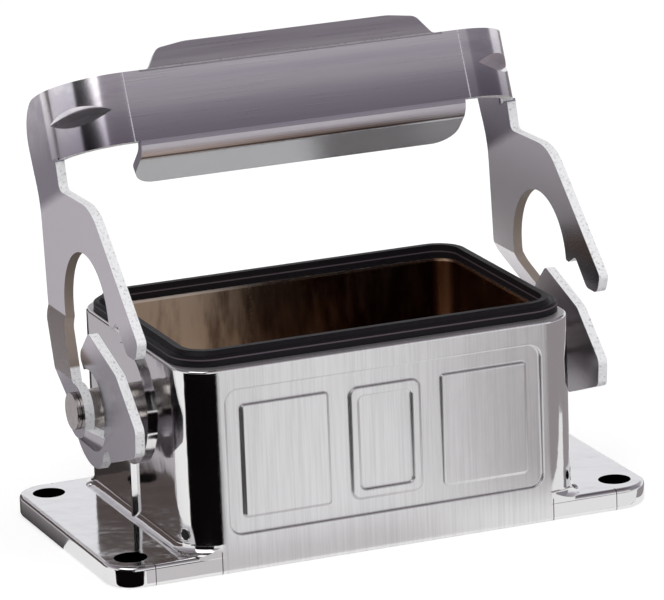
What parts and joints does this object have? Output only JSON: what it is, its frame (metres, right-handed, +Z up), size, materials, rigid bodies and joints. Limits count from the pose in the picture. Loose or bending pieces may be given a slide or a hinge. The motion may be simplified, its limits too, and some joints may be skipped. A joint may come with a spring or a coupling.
{
  "type": "heavy duty rectangular connector housing",
  "caption": "Open bulkhead-mount base housing of a heavy duty rectangular connector, with rim seal and a folded sheet locking lever that swings over it.",
  "frame": {"origin": "centre of the four flange holes, on the underside of the flange", "axes": "+Z up out of the opening, X along the long side and the lever's pivot, -Y towards the long side that the lever's fingers point to"},
  "size_m": [0.078, 0.0419, 0.0648],
  "materials": {
    "housing_nickel": "nickel plated zinc die casting, satin on the long sides and bright elsewhere",
    "rim_rubber": "black rubber",
    "flange_rubber": "black rubber",
    "lever_steel": "satin stainless sheet with bright sheared edges",
    "stud_steel": "turned and riveted stainless steel"
  },
  "bodies": {
    "base": {"housing": "housing_nickel", "rim_seal": "rim_rubber", "flange_seal": "flange_rubber", "stud_left": "stud_steel", "stud_right": "stud_steel"},
    "lever": {"lever": "lever_steel"}
  },
  "joints": [
    {"name": "lever_pivot", "type": "hinge", "parent": "base", "child": "lever", "pos_m": [0, 0, 0.019], "axis": [1, 0, 0], "range_deg": [-80, 55]}
  ]
}
